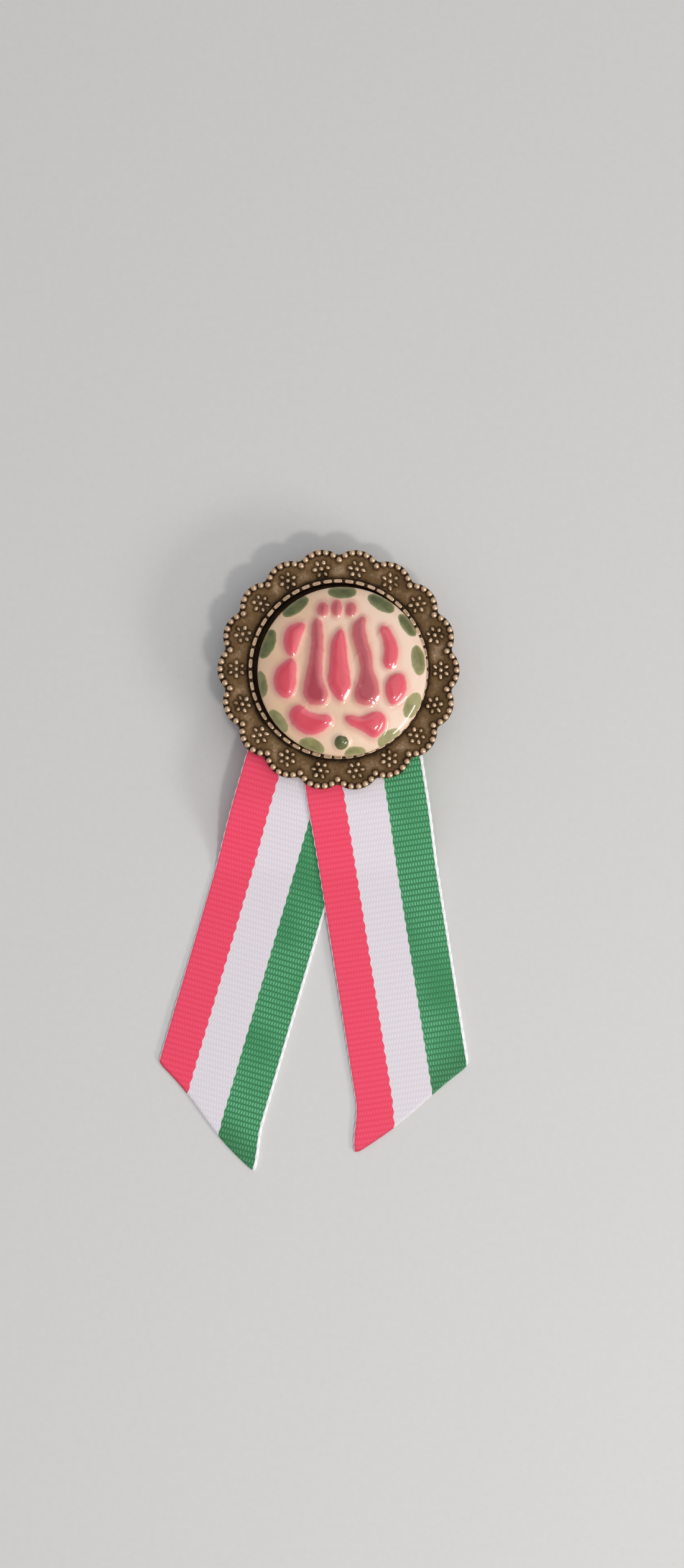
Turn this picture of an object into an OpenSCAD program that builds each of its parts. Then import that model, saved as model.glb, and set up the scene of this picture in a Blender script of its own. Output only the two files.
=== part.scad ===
// Award ribbon: a ceramic cabochon in a scalloped bronze tray, on a folded three-stripe ribbon
// with a bar pin. It lies face up on the plane z = 0, with the tails toward -Y. All in millimetres.

/* [Bezel tray] */
// Number of scallops round the rim
scallops = 18; // [16:1:20]
// Beads along one scallop, counting one notch bead
beads_per_scallop = 6; // [5:1:6]
// Diameter of one bead
bead_d = 0.97; // [0.8:0.01:1.0]
// Radius of the bead line on one scallop
scallop_r = 3.81; // [3.7:0.01:4.2]
// Distance from the tray's centre to a scallop's centre
scallop_ring_r = 15.6; // [15.4:0.05:16]
// Plate thickness
plate_t = 0.9; // [0.8:0.05:1.2]
// Inner radius of the cup
cup_r = 14.07; // [14.05:0.01:14.3]
// Width of the cup's collar
collar_w = 0.7; // [0.6:0.05:0.8]
// Number of pads on the collar
pads = 50; // [44:1:54]
// Height of the collar over the plate
collar_h = 0.8; // [0.6:0.05:0.9]

/* [Cabochon] */
// Radius of the base
cab_base_r = 13.15; // [12.8:0.01:13.15]
// Radius at the widest line
cab_r = 13.8; // [13.6:0.05:14.1]
// Height of the dome over the widest line
dome_h = 2.9; // [2:0.1:4]
// How far the cabochon sits right of the tray's centre
cab_dx = 0.6; // [0:0.01:0.66]
// How far the cabochon sits below the tray's centre
cab_dy = 0.55; // [0:0.01:0.55]
// Height of the raised slip strokes
stroke_h = 0.55; // [0.2:0.05:0.6]
// Thickness of the flat rim spots
spot_h = 0.1; // [0.05:0.01:0.15]

/* [Ribbon] */
// Ribbon width
ribbon_w = 20; // [18:0.5:21]
// Ribbon thickness
ribbon_t = 0.45; // [0.3:0.05:0.5]
// Space between the two plies
ply_gap = 0.1; // [0.05:0.05:0.15]
// Lean of the right tail from straight down
right_lean = 9; // [6:0.5:14]
// Lean of the left tail from straight down
left_lean = 16.3; // [12:0.1:20]
// Right tail, from the fold to the end of its left edge
right_long = 85.8; // [70:0.1:95]
// Right tail, from the fold to the end of its right edge
right_short = 74.2; // [65:0.1:85]
// Left tail, from the fold to the end of its right edge
left_long = 90; // [75:0.1:95]
// Left tail, from the fold to the end of its left edge
left_short = 77.2; // [65:0.1:85]
// Distance over which the tails come down to the table
drop_l = 14; // [12:0.5:18]

/* [Pin back] */
// Width of the bar
bar_w = 6; // [5.5:0.1:6.5]
// Thickness of the bar and its ears
bar_t = 0.7; // [0.6:0.05:0.8]
// Radius of the pin stem's wire
stem_r = 0.36; // [0.3:0.01:0.38]
// Radius of the hinge rivet
rivet_r = 0.45; // [0.4:0.01:0.5]
// Height of the stem's axis over the table
stem_z = 1.5; // [1.5:0.05:1.6]

/* [Hidden] */
$fn = 64;
eps = 0.01;

// Stack of heights over the table
bar_z = 3.8;
glue_t = 0.1;
lower_ply_z = bar_z + bar_t + glue_t;
upper_ply_z = lower_ply_z + ribbon_t + ply_gap;
ribbon_top_z = upper_ply_z + ribbon_t;
plate_z = ribbon_top_z + glue_t;
field_z = plate_z + plate_t;
cup_floor_z = field_z - 0.1;
cab_z = cup_floor_z + 0.2;
collar_z = field_z + collar_h;
pad_h = 0.15;
cab_neck_z = collar_z + pad_h + 0.2;
cab_wide_z = cab_neck_z + 0.95;

// Plan angles of the bezel's relief
first_scallop = 79.7;
scallop_step = 360 / scallops;
flower_r = 16.8;
rim_beyond_beads = 0.55;
rim_inside_beads = 0.5;
rim_h = 0.15;

// Fold and hinge lines of the ribbon
fold_x = 0.69;
fold_y = 5.17;
fold_lean = (right_lean - left_lean) / 2;
hinge_y = -20.5;
root_hinge_y = -27;
hinge_slit = 0.05;
lift_off_y = -41;
touch_y = -64;
tail_end_y = -100;

// Pin back
bar_left = -12;
bar_right = 11.4;
hinge_x = -10.5;
ear_l = 3;
knuckle_r = 1.15;
running_gap = 0.05;
catch_l = 2.8;
catch_x = bar_right - catch_l;
catch_r = 1.5;
catch_bore_r = 1.05;
catch_slot_w = 1.1;
catch_web_w = 1.2;
bar_hole_x = 4;
bar_hole_r = 1;
rivet_head_r = 0.85;
rivet_head_h = 0.3;
roller_bore_r = 0.5;
roller_slot_w = 0.88;
roller_head_r = 1.35;
roller_head_l = 0.95;
roller_tab_y = 2.6;
roller_tab_t = 0.7;
stem_tip_x = 11.2;
stem_tip_r = 0.08;
stem_taper_l = 3;

bronze = "#6b5a3c";
cream = "#dcc4a6";
red = "#e04a62";
rose = "#b5606c";
green = "#46663c";
steel = "#b9bcc0";
fabric_white = "#d8ced2";
clear_glue = "#e6e2d6";

// Height of the dome's skin over the widest line, at a share t of the way round its profile
function dome_point(t, lift) = [cab_r * pow(sin(t), 0.8), cab_wide_z + lift + dome_h * cos(t)];

// A smooth closed outline through a few points
function catmull(a, b, c, d, t) =
    0.5 * (2 * b + (c - a) * t + (2 * a - 5 * b + 4 * c - d) * t * t
           + (3 * b - a - 3 * c + d) * t * t * t);
function smooth(p, steps = 3) = [for (i = [0:len(p) - 1], k = [0:steps - 1])
    catmull(p[i], p[(i + 1) % len(p)], p[(i + 2) % len(p)], p[(i + 3) % len(p)], k / steps)];

// Height of the lower ply's underside, and of the upper ply's, at a distance y
function ease(u) = (1 - cos(180 * min(1, max(0, u)))) / 2;
function lower_z(y) = lower_ply_z * (1 - ease((hinge_y - y) / drop_l));
function upper_z(y) = lower_z(y)
    + (ribbon_t + ply_gap) * (1 - ease((lift_off_y - y) / (lift_off_y - touch_y)));

module disc(r, z, h) {
    translate([0, 0, z]) cylinder(r = r, h = h);
}

// ---- Bezel tray ----

module scalloped_plate(extra, z, h) {
    translate([0, 0, z]) linear_extrude(h) {
        circle(r = scallop_ring_r + 0.8);
        for (i = [0:scallops - 1])
            rotate(first_scallop + i * scallop_step)
                translate([scallop_ring_r, 0]) circle(r = scallop_r + extra);
    }
}

// The notch bead of each scallop stands where two scallops' bead lines cross
function notch_angle() = let (half = scallop_step / 2)
    180 - half - asin(scallop_ring_r * sin(half) / scallop_r);

module bead_border() {
    arc = 180 - notch_angle();
    color(bronze) for (i = [0:scallops - 1], k = [0:beads_per_scallop - 1])
        rotate(first_scallop + i * scallop_step)
            translate([scallop_ring_r, 0, field_z + 0.2])
                rotate(-arc + 2 * arc * k / beads_per_scallop)
                    translate([scallop_r, 0, 0]) sphere(d = bead_d, $fn = 24);
}

module flower() {
    sphere(r = 0.46, $fn = 24);
    for (a = [30:60:330])
        rotate(a) translate([1.1, 0, -0.03]) sphere(r = 0.36, $fn = 24);
}

module flower_relief() {
    color(bronze) for (i = [0:scallops - 1])
        rotate(first_scallop + i * scallop_step)
            translate([flower_r, 0, field_z - 0.12]) flower();
}

module collar_pads() {
    pad_l = 2 * PI * cup_r / pads - 0.28;
    color(bronze) for (i = [0:pads - 1])
        rotate(i * 360 / pads)
            translate([cup_r + 0.08, -pad_l / 2, collar_z])
                cube([collar_w - 0.14, pad_l, pad_h]);
}

module bezel_tray() {
    dish_r = 6;
    dish_depth = 0.18;
    dish_ring_r = 16.4;
    color(bronze) difference() {
        union() {
            difference() {
                scalloped_plate(rim_beyond_beads, plate_z, plate_t);
                translate([0, 0, field_z + dish_r - dish_depth])
                    rotate_extrude() translate([dish_ring_r, 0]) circle(r = dish_r);
            }
            difference() {
                scalloped_plate(rim_beyond_beads, field_z - 0.1, rim_h + 0.1);
                scalloped_plate(-rim_inside_beads, field_z - 0.2, rim_h + 0.4);
            }
            disc(cup_r + collar_w, field_z - 0.1, collar_h + 0.1);
        }
        disc(cup_r, cup_floor_z, collar_h + 1);
    }
}

// ---- Cabochon and its slip strokes ----

module dome(lift, bottom_z) {
    rotate_extrude() polygon(concat(
        [[0, bottom_z], [cab_r, bottom_z]],
        [for (t = [90:-10:10]) dome_point(t, lift)],
        [[0, cab_wide_z + lift + dome_h]]));
}

module on_dome() {
    translate([cab_dx, -cab_dy, 0]) children();
}

module cabochon() {
    color(cream) on_dome() {
        disc(cab_base_r, cab_z, cab_neck_z - cab_z);
        translate([0, 0, cab_neck_z])
            cylinder(r1 = cab_base_r, r2 = cab_r, h = cab_wide_z - cab_neck_z);
        dome(0, cab_wide_z - eps);
    }
}

// A stroke is a plan outline raised from the dome's skin by a height
module stroke(height) {
    on_dome() intersection() {
        translate([0, 0, cab_wide_z]) linear_extrude(dome_h + 2) children();
        difference() {
            dome(height, cab_wide_z);
            dome(0, cab_wide_z - 1);
        }
    }
}

module oval(x, y, w, h, lean = 0) {
    translate([x, y]) rotate(lean)
        polygon([for (a = [0:20:340]) [w / 2 * cos(a), h / 2 * sin(a)]]);
}

module centre_petal() {
    color(red) stroke(stroke_h) polygon(smooth([
        [-0.3, 6.6], [0.4, 5.8], [0.7, 3.8], [1.0, 1], [1.4, -1.7], [1.1, -3.5],
        [-0.2, -5.1], [-1.8, -3.5], [-2.4, -1.7], [-2.2, 0], [-2.0, 2.8], [-1.6, 5.1]]));
}

module side_petals() {
    color(red) stroke(stroke_h) {
        polygon(smooth([[-5.9, 7.4], [-6.4, 5.6], [-7, 3.8], [-7.6, 2.4], [-8.6, 2.3],
                        [-9.4, 3.9], [-9.4, 5.6], [-8.7, 7.1], [-7.3, 7.7]]));
        polygon(smooth([[-8.1, 2], [-7.4, 1.2], [-7.3, -0.6], [-7.5, -2.7], [-8.3, -4.3],
                        [-9.6, -4.4], [-10.8, -3.2], [-11.1, -1.4], [-10.5, 0.4], [-9.2, 1.5]]));
        polygon(smooth([[6.3, 7.2], [7.4, 7], [8.4, 5.4], [9, 3.6], [8.9, 1.5], [8.1, 0.2],
                        [6.9, 0.4], [6.5, 1.5], [6.7, 3], [6.5, 4.9], [6, 6.2]]));
        polygon(smooth([[9, -0.4], [10, -0.9], [10.4, -2.5], [9.9, -4.3], [8.2, -5.6],
                        [7.2, -4.6], [6.8, -2.7], [7.6, -1]]));
    }
}

module lower_petals() {
    color(red) stroke(stroke_h) {
        polygon(smooth([[-6.8, -5.5], [-5.7, -6.3], [-3.8, -7], [-2.1, -7.2], [-1.6, -8.1],
                        [-2.4, -9.3], [-4.3, -10.4], [-6.2, -10.2], [-7.8, -9], [-8.6, -7.6],
                        [-8.2, -6.1]]));
        polygon(smooth([[0.5, -7.4], [1.4, -7.2], [3.2, -7.4], [4.7, -6.7], [6.1, -6.6],
                        [7, -7.6], [6.9, -9.3], [5.9, -10.6], [4.7, -10.8], [3.2, -9.8],
                        [1.4, -9], [0.6, -8.2]]));
    }
}

module stamens() {
    color(rose) stroke(stroke_h) {
        polygon(smooth([[-4.3, 8.4], [-3.3, 7.8], [-3, 5.7], [-3, 3], [-3.1, 0.4], [-2.9, -1.7],
                        [-2.2, -3.6], [-2.5, -5.1], [-3.6, -5.7], [-5.4, -5.4], [-6.3, -3.8],
                        [-6, -1.4], [-5.5, 0.9], [-5.1, 4.1], [-4.9, 7.2]]));
        polygon(smooth([[3, 8.6], [3.9, 8.3], [3.8, 6.7], [4.2, 4.6], [4.8, 2.5], [5, 0.2],
                        [5.6, -1.4], [6, -3.5], [5.3, -5.2], [3.8, -5.7], [2.2, -5.1],
                        [1.9, -3.5], [2.6, -1.4], [2.8, 0.4], [2.3, 2.8], [1.6, 5.1],
                        [1.7, 7.3]]));
    }
}

module crown_ovals() {
    color(rose) stroke(stroke_h * 0.7) {
        oval(-3.1, 9.8, 2.1, 2.6);
        oval(-0.9, 10, 2, 2.9);
        oval(1.4, 9.8, 2, 2.5);
    }
}

module green_dot() {
    color(green) stroke(stroke_h) translate([-0.15, -11.6]) circle(r = 1.2);
}

module rim_spots() {
    // Plan angle, distance from the dome's centre, length and depth of each spot
    spots = [[8, 12.4, 4.5, 1.9], [35, 12.9, 3.9, 1.6], [60, 12.6, 4.5, 2], [90, 12.8, 4.3, 1.9],
             [126, 12.9, 4.6, 2.1], [160, 12.9, 4.6, 2.2], [189, 13.4, 4, 1.9],
             [218, 13.1, 4, 1.7], [248, 13.2, 3.9, 2.3], [279, 13.5, 3.2, 1.8],
             [305, 13.2, 3.8, 1.9], [334, 12.6, 4.1, 2]];
    color(green) stroke(spot_h)
        intersection() {
            circle(r = cab_r - 0.3);
            union() for (s = spots) rotate(s[0]) oval(s[1], 0, s[3], s[2]);
        }
}

// ---- Ribbon ----

// Plan of one tail, from past the fold down to its diagonal end
module tail_plan(lean, left_l, right_l) {
    half = ribbon_w / 2;
    translate([fold_x, fold_y]) rotate(lean)
        polygon([[-half, -left_l], [half, -right_l], [half, 12], [-half, 12]]);
}

module right_plan() {
    tail_plan(right_lean, right_long, right_short);
}

module left_plan() {
    tail_plan(-left_lean, left_short, left_long);
}

// The part of a plan between two lines across the ribbons
module between(y0, y1) {
    intersection() {
        children();
        translate([-60, y0]) square([120, y1 - y0]);
    }
}

// A band of ribbon that follows a height along Y, as wide as any tail
module lower_band(y0, y1, step) {
    ys = [for (y = [y0:step:y1]) y];
    rotate([90, 0, 90]) translate([0, 0, -60]) linear_extrude(120)
        polygon(concat([for (y = ys) [y, lower_z(y)]],
                       [for (i = [len(ys) - 1:-1:0]) [ys[i], lower_z(ys[i]) + ribbon_t]]));
}

module upper_band(y0, y1, step) {
    ys = [for (y = [y0:step:y1]) y];
    rotate([90, 0, 90]) translate([0, 0, -60]) linear_extrude(120)
        polygon(concat([for (y = ys) [y, upper_z(y)]],
                       [for (i = [len(ys) - 1:-1:0]) [ys[i], upper_z(ys[i]) + ribbon_t]]));
}

module below_fold() {
    intersection() {
        children();
        translate([fold_x, fold_y]) rotate(fold_lean) translate([-60, -120]) square(120);
    }
}

module ribbon_fold() {
    fold_r = (ribbon_top_z - lower_ply_z) / 2;
    fold_l = ribbon_w / cos((right_lean + left_lean) / 2);
    color(fabric_white) {
        translate([0, 0, lower_ply_z]) linear_extrude(ribbon_t)
            below_fold() between(hinge_y, 20) left_plan();
        translate([0, 0, upper_ply_z]) linear_extrude(ribbon_t)
            below_fold() between(hinge_y, 20) right_plan();
        translate([fold_x, fold_y, lower_ply_z + fold_r]) rotate(fold_lean)
            rotate([0, 90, 0]) cylinder(r = fold_r, h = fold_l, center = true);
    }
}

module left_tail() {
    color(red) intersection() {
        translate([0, 0, -1]) linear_extrude(12)
            between(tail_end_y, hinge_y - hinge_slit) left_plan();
        union() {
            lower_band(hinge_y - drop_l, hinge_y, 1);
            translate([-60, tail_end_y, 0])
                cube([120, hinge_y - drop_l - tail_end_y, ribbon_t]);
        }
    }
}

module right_tail_root() {
    color(green) intersection() {
        translate([0, 0, -1]) linear_extrude(12)
            between(root_hinge_y, hinge_y - hinge_slit) right_plan();
        upper_band(root_hinge_y - 0.5, hinge_y, 1);
    }
}

module right_tail() {
    color(green) intersection() {
        translate([0, 0, -1]) linear_extrude(12)
            between(tail_end_y, root_hinge_y - hinge_slit) right_plan();
        union() {
            upper_band(touch_y, root_hinge_y + 0.5, 1.5);
            translate([-60, tail_end_y, 0])
                cube([120, touch_y - tail_end_y, ribbon_t]);
        }
    }
}

module ribbon_glue() {
    patch_r = 8;
    color(clear_glue) translate([2, -5, 0]) disc(patch_r, ribbon_top_z, glue_t);
}

module cabochon_glue() {
    color(clear_glue) disc(cup_r - 0.4, cup_floor_z, cab_z - cup_floor_z);
}

// ---- Pin back ----

module along_x(x, r, l) {
    translate([x, 0, stem_z]) rotate([0, 90, 0]) cylinder(r = r, h = l);
}

module along_y(x, r, l) {
    translate([x, 0, stem_z]) rotate([90, 0, 0]) cylinder(r = r, h = l, center = true);
}

module ear(side) {
    translate([hinge_x - ear_l / 2, side > 0 ? bar_w / 2 - bar_t : -bar_w / 2, 0])
        cube([ear_l, bar_t, bar_z + 0.1]);
}

module bar_hole(x) {
    translate([x, 0, 0]) disc(bar_hole_r, bar_z - 1, bar_t + 2);
}

module pin_bar() {
    color(steel) difference() {
        union() {
            translate([bar_left, -bar_w / 2, bar_z]) cube([bar_right - bar_left, bar_w, bar_t]);
            ear(1);
            ear(-1);
            along_x(catch_x, catch_r, catch_l);
            translate([catch_x, -catch_web_w / 2, stem_z + catch_bore_r + 0.1])
                cube([catch_l, catch_web_w, bar_z - stem_z - catch_bore_r]);
        }
        along_y(hinge_x, rivet_r, bar_w + 1);
        along_x(catch_x - 1, catch_bore_r, catch_l + 2);
        translate([catch_x - 1, -catch_slot_w / 2, -1])
            cube([catch_l + 2, catch_slot_w, stem_z + 1]);
        for (side = [-1, 1]) bar_hole(side * bar_hole_x);
    }
}

module pin_bar_glue() {
    color(clear_glue) translate([-9, -2.2, bar_z + bar_t]) cube([18, 4.4, glue_t]);
}

module hinge_rivet() {
    color(steel) {
        along_y(hinge_x, rivet_r, bar_w);
        for (side = [-1, 1])
            translate([hinge_x, side * (bar_w + rivet_head_h) / 2, stem_z])
                rotate([90, 0, 0])
                    cylinder(r = rivet_head_r, h = rivet_head_h, center = true);
    }
}

module pin_stem() {
    knuckle_w = bar_w - 2 * bar_t - 0.3;
    color(steel) difference() {
        union() {
            along_y(hinge_x, knuckle_r, knuckle_w);
            along_x(hinge_x + 0.8, stem_r, stem_tip_x - stem_taper_l - hinge_x - 0.8);
            translate([stem_tip_x - stem_taper_l, 0, stem_z]) rotate([0, 90, 0])
                cylinder(r1 = stem_r, r2 = stem_tip_r, h = stem_taper_l);
        }
        along_y(hinge_x, rivet_r + running_gap, bar_w);
    }
}

module safety_roller() {
    roller_r = catch_bore_r - running_gap;
    head_x = bar_right + running_gap;
    color(steel) difference() {
        union() {
            along_x(catch_x, roller_r, catch_l + 1);
            along_x(head_x, roller_head_r, roller_head_l);
            translate([head_x, roller_r - 0.1, stem_z - roller_tab_t / 2])
                cube([roller_head_l, roller_tab_y - roller_r + 0.1, roller_tab_t]);
        }
        along_x(catch_x - 1, roller_bore_r, catch_l + 4);
        translate([catch_x - 1, -roller_slot_w / 2, stem_z - 3])
            cube([catch_l + 4, roller_slot_w, 3]);
    }
}

bezel_tray();
bead_border();
flower_relief();
collar_pads();
cabochon_glue();
cabochon();
centre_petal();
side_petals();
lower_petals();
stamens();
crown_ovals();
green_dot();
rim_spots();
ribbon_fold();
ribbon_glue();
left_tail();
right_tail_root();
right_tail();
pin_bar();
pin_bar_glue();
hinge_rivet();
pin_stem();
safety_roller();
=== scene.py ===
"""Award ribbon, face up on a table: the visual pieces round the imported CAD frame.

Every shape is worked out in millimetres and turned to metres when its mesh is made.
"""

import math

import bmesh
import bpy
import numpy as np
from mathutils.bvhtree import BVHTree
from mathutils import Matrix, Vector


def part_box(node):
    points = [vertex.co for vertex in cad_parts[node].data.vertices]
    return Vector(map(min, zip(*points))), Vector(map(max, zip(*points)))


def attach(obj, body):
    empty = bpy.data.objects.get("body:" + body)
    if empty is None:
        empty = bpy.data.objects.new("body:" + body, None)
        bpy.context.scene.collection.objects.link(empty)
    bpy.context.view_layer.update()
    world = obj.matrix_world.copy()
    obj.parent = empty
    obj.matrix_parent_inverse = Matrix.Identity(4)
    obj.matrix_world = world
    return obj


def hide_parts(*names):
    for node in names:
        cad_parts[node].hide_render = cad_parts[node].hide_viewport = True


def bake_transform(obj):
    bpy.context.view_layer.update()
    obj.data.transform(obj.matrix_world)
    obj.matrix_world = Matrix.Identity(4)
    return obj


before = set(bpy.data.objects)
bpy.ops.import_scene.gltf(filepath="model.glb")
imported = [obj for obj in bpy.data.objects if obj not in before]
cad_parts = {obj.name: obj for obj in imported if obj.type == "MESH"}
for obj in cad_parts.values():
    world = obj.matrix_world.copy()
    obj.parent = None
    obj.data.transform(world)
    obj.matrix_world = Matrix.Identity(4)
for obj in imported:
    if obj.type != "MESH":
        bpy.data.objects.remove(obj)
bpy.context.view_layer.update()
rng = np.random.default_rng(18)
MM = 0.001
FAR = 9.0


def box(node):
    """Lowest and highest corner of a CAD node, in millimetres."""
    low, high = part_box(node)
    return np.array(low) / MM, np.array(high) / MM


# ---- Sizes from the CAD model ----
tray_low, tray_high = box("bezel_tray")
cab_low, cab_high = box("cabochon")
fold_low = box("ribbon_fold")[0]
bar_low, bar_high = box("pin_bar")

PLATE_Z = tray_low[2]
COLLAR_Z = tray_high[2]
FIELD_Z = PLATE_Z + 0.9
SCALLOPS = 18
STEP = 2 * math.pi / SCALLOPS
FIRST_SCALLOP = math.radians(79.7)
RING_R = 15.6
BEAD_LINE_R = 3.81
BEADS_PER_SCALLOP = 6
BEAD_R = 0.515
RIM_OUT = 0.55
RIM_W = 1.05
CUP_R = 14.07
COLLAR_R = 14.77
FLOWER_R = 16.8
PETALS = 6
PETAL_RING_R = 1.1
PADS = 50
PAD_HALF_W = 0.33

CAB_X, CAB_Y = (cab_low[:2] + cab_high[:2]) / 2
CAB_R = (cab_high[0] - cab_low[0]) / 2
DOME_H = 2.9
WIDE_Z = cab_high[2] - DOME_H
DOME_POINTS = 241

RIBBON_HALF_W = 10.0
RIBBON_T = 0.42
HALF_PLY = 0.225
PLY_STEP = 0.55
PLY_Z = fold_low[2] + HALF_PLY
FOLD_X, FOLD_Y = 0.69, 5.17
LEFT_LEAN, RIGHT_LEAN = math.radians(-16.3), math.radians(9.0)
FOLD_LEAN = (LEFT_LEAN + RIGHT_LEAN) / 2
HINGE_Y, DROP_L = -20.5, 14.0
LIFT_OFF_Y, TOUCH_Y = -41.0, -64.0
WHITE_FROM, GREEN_FROM, SELVEDGE_FROM = -3.94, 3.17, 9.6
PICOT_TO = -9.95
MARGIN_FROM, ROUND_FROM = 9.2, 9.75
RIB = 0.94
THREAD = 0.47
ROWS_PER_RIB = 6
CLEAR_OF_FLOOR = 0.01
SEAM_RIBS = 31

HINGE_X = -10.5
STEM_Z = 1.5
STEM_R = 0.36
STEM_TIP_X = 11.2
BAR_T = 0.7
ROLLER_HEAD_L = 0.95
AXES_XZ = [[1, 0, 0], [0, 0, 1], [0, 1, 0]]
AXES_YZ = [[0, 1, 0], [0, 0, 1], [1, 0, 0]]


# ---- Mesh helpers ----
def grid(rows, cols, wrap=False):
    """Quads over points stored row by row; wrap joins the last column to the first."""
    i, j = np.meshgrid(np.arange(rows - 1), np.arange(cols if wrap else cols - 1), indexing="ij")
    k = (j + 1) % cols
    corners = [i * cols + j, i * cols + k, (i + 1) * cols + k, (i + 1) * cols + j]
    return np.stack(corners, -1).reshape(-1, 4)


class Shape:
    """Points in millimetres, faces and per-point values, gathered before one mesh is made."""

    def __init__(self):
        self.points = []
        self.faces = []
        self.values = {}
        self.count = 0

    def add(self, points, faces, **values):
        """More points, their faces numbered from 0, and one value of each kind for every point."""
        points = np.asarray(points, float).reshape(-1, 3)
        self.faces += (np.asarray(faces) + self.count).tolist()
        self.points.append(points)
        self.count += len(points)
        for key, value in values.items():
            value = np.asarray(value, float)
            if value.ndim == 0:
                value = np.full(len(points), float(value))
            self.values.setdefault(key, []).append(value.reshape(len(points), -1))
        return self

    def face(self, corners):
        """One more face over points already added."""
        self.faces.append([int(c) for c in corners])

    def mesh(self, name):
        mesh = bpy.data.meshes.new(name)
        mesh.from_pydata((np.concatenate(self.points) * MM).tolist(), [], self.faces)
        for key, parts in self.values.items():
            data = np.concatenate(parts).astype(np.float32)
            scalar = data.shape[1] == 1
            attribute = mesh.attributes.new(key, "FLOAT" if scalar else "FLOAT_VECTOR", "POINT")
            attribute.data.foreach_set("value" if scalar else "vector", data.ravel())
        mesh.validate()
        mesh.shade_smooth()
        return mesh


def outward(mesh, weld=0.0, crease=None):
    """Turns every face of a closed mesh outward, after welding points that coincide.

    Edges that turn by more than crease degrees keep a hard edge in the smooth shading.
    """
    b = bmesh.new()
    b.from_mesh(mesh)
    if weld:
        bmesh.ops.remove_doubles(b, verts=b.verts, dist=weld * MM)
        bmesh.ops.dissolve_degenerate(b, edges=b.edges, dist=weld * MM)
    bmesh.ops.recalc_face_normals(b, faces=b.faces)
    if crease:
        for edge in b.edges:
            edge.smooth = len(edge.link_faces) == 2 and edge.calc_face_angle(0) < math.radians(crease)
    b.to_mesh(mesh)
    b.free()


def piece(name, mesh, material, body=None, replaced=()):
    """A visible piece with its material and slot, and the CAD nodes it stands for."""
    obj = bpy.data.objects.new(name, mesh)
    bpy.context.scene.collection.objects.link(obj)
    mesh.materials.clear()
    mesh.materials.append(material)
    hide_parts(*replaced)
    if body:
        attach(obj, body)
    return obj


def ball():
    """A unit sphere of even triangles: points and faces."""
    b = bmesh.new()
    bmesh.ops.create_icosphere(b, subdivisions=3, radius=1)
    points = np.array([v.co for v in b.verts])
    faces = np.array([[v.index for v in f.verts] for f in b.faces])
    b.free()
    return points, faces


BALL_POINTS, BALL_FACES = ball()


def turn(points, angle):
    """Points turned about Z."""
    c, s = math.cos(angle), math.sin(angle)
    return np.asarray(points) @ np.array([[c, s, 0], [-s, c, 0], [0, 0, 1]])


def ease(u):
    """0 to 1 with a soft start and end."""
    return (1 - np.cos(np.pi * np.clip(u, 0, 1))) / 2


def lathe(profile, segments=48):
    """A closed solid turned about Z from (radius, height) points that start and end on the axis."""
    profile = np.asarray(profile, float)
    rings = profile[1:-1]
    angle = np.linspace(0, 2 * np.pi, segments, endpoint=False)
    x = rings[:, :1] * np.cos(angle)
    y = rings[:, :1] * np.sin(angle)
    z = np.repeat(rings[:, 1:], segments, axis=1)
    shape = Shape().add(np.stack([x, y, z], -1), grid(len(rings), segments, wrap=True))
    ends = [[0, 0, profile[0, 1]], [0, 0, profile[-1, 1]]]
    shape.add(ends, np.zeros((0, 3), int))
    first, last = shape.count - 2, shape.count - 1
    top = (len(rings) - 1) * segments
    for j in range(segments):
        shape.face([first, (j + 1) % segments, j])
        shape.face([last, top + j, top + (j + 1) % segments])
    return shape


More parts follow.
